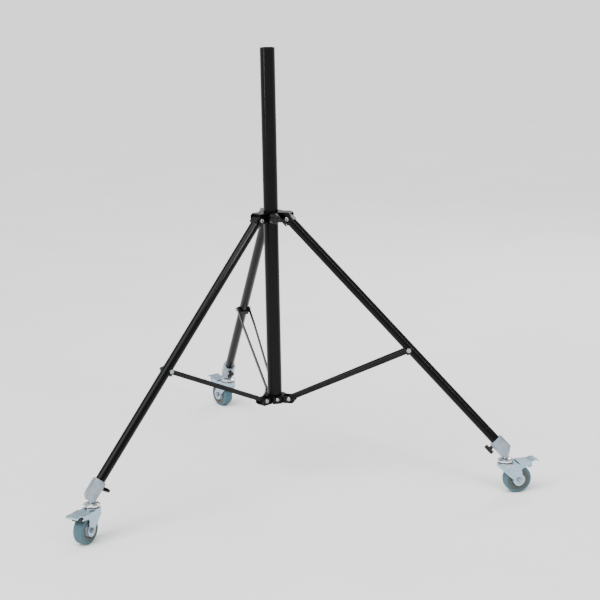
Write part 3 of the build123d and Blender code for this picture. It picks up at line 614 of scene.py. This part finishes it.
# ---------------------------------------------------------------- every node gets its finished piece
RIB_TREE = ring_tree("hub_ribs", "bar")
BALL_TREE = ring_tree("bearing_balls", "ball")
MADE_HERE = ("tyre", "wheel_hub", "swivel_bearing", "axle_bolt", "upper_pivot_bolts",
             "lower_hub_fasteners", "clamp_knob")

for node_name in frame["nodes"]:
    if plain_name(node_name) not in MADE_HERE:
        soften(node_name)

for side_name in SIDES:
    make_tyre(side_name)
    make_wheel_hub(side_name, RIB_TREE)
    make_swivel_bearing(side_name, BALL_TREE)
    make_axle_bolt(side_name)

make_clamp_knob(RIB_TREE)
hub_bolts = [pivot_bolt_part("lower_hub_fasteners", pivot_place(side, "brace_fold")) for side in SIDES]
assemble("lower_hub_fasteners", hub_bolts + [fixing_screw_part(step) for step in range(3)])
assemble("upper_pivot_bolts", [pivot_bolt_part("upper_pivot_bolts", pivot_place(side, "leg_fold"))
                               for side in SIDES])


# ---------------------------------------------------------------- floor, light and camera, in metres
LIGHT_AIM = Vector((0, 0, 0.6))
CAMERA_PLACE = Vector((0.046, -4.097, 1.512))
CAMERA_YAW = math.radians(0.22)
CAMERA_PITCH = math.radians(-13.83)
CAMERA_ROLL = math.radians(-1.17)


def make_floor():
    """Pale seamless floor that reaches past the edge of the view."""
    material = new_material(
        "pale_studio_floor", ("#f4f4f4", "#f7f7f7"), patch=(400, 2), rough=(0.9, 0.9),
        shader_inputs={"Specular IOR Level": 0.1})
    mesh = bpy.data.meshes.new("studio_floor")
    reach = 60.0
    corners = [(-reach, -reach, 0), (reach, -reach, 0), (reach, reach, 0), (-reach, reach, 0)]
    mesh.from_pydata(corners, [], [(0, 1, 2, 3)])
    mesh.materials.append(material)
    floor = bpy.data.objects.new("studio_floor", mesh)
    bpy.context.scene.collection.objects.link(floor)


def make_world():
    world = bpy.data.worlds.new("white_studio")
    bpy.context.scene.world = world
    world.use_nodes = True
    tree = world.node_tree
    tree.nodes.clear()
    sky = add_node(tree, "ShaderNodeBackground", inputs={"Color": colour("#ffffff"), "Strength": 0.75})
    add_node(tree, "ShaderNodeOutputWorld", inputs={"Surface": sky.outputs["Background"]})


def make_softbox(name, place, width, height):
    """Rectangular light turned towards the middle of the stand."""
    light = bpy.data.lights.new(name, "AREA")
    light.shape = "RECTANGLE"
    light.size = width
    light.size_y = height
    light.energy = 40
    box = bpy.data.objects.new(name, light)
    bpy.context.scene.collection.objects.link(box)
    box.matrix_world = frame_along(place, place - LIGHT_AIM, Vector((0, 1, 0.1)))


def make_overhead_light():
    """Broad soft light from above the left shoulder, even over the whole floor."""
    light = bpy.data.lights.new("overhead_diffuser", "SUN")
    light.energy = 3.2
    light.angle = math.radians(50)
    diffuser = bpy.data.objects.new("overhead_diffuser", light)
    bpy.context.scene.collection.objects.link(diffuser)
    toward = Vector((-0.35, -0.45, 1.0))
    diffuser.matrix_world = frame_along(Vector((0, 0, 4)), toward, Vector((1, 0, 0)))


def make_camera():
    """Long lens well above the collar's height, turned down towards the hub."""
    lens = bpy.data.cameras.new("stand_camera")
    lens.lens = 92.3
    lens.sensor_width = 36.0
    lens.shift_x = 0.027
    lens.clip_end = 200.0
    camera = bpy.data.objects.new("stand_camera", lens)
    bpy.context.scene.collection.objects.link(camera)
    bpy.context.scene.camera = camera
    level = math.cos(CAMERA_PITCH)
    forward = Vector((-math.sin(CAMERA_YAW) * level, math.cos(CAMERA_YAW) * level, math.sin(CAMERA_PITCH)))
    right = Vector((math.cos(CAMERA_YAW), math.sin(CAMERA_YAW), 0))
    up = right.cross(forward)
    right_rolled = right * math.cos(CAMERA_ROLL) + up * math.sin(CAMERA_ROLL)
    camera.matrix_world = frame_along(CAMERA_PLACE, -forward, right_rolled)


make_floor()
make_world()
make_overhead_light()
make_softbox("right_strip", Vector((1.6, -2.4, 2.6)), 0.2, 2.2)
make_softbox("left_strip", Vector((-2.4, -2.0, 1.6)), 0.2, 2.2)
make_softbox("rim_softbox", Vector((1.6, 2.6, 2.4)), 1.0, 1.6)
make_camera()
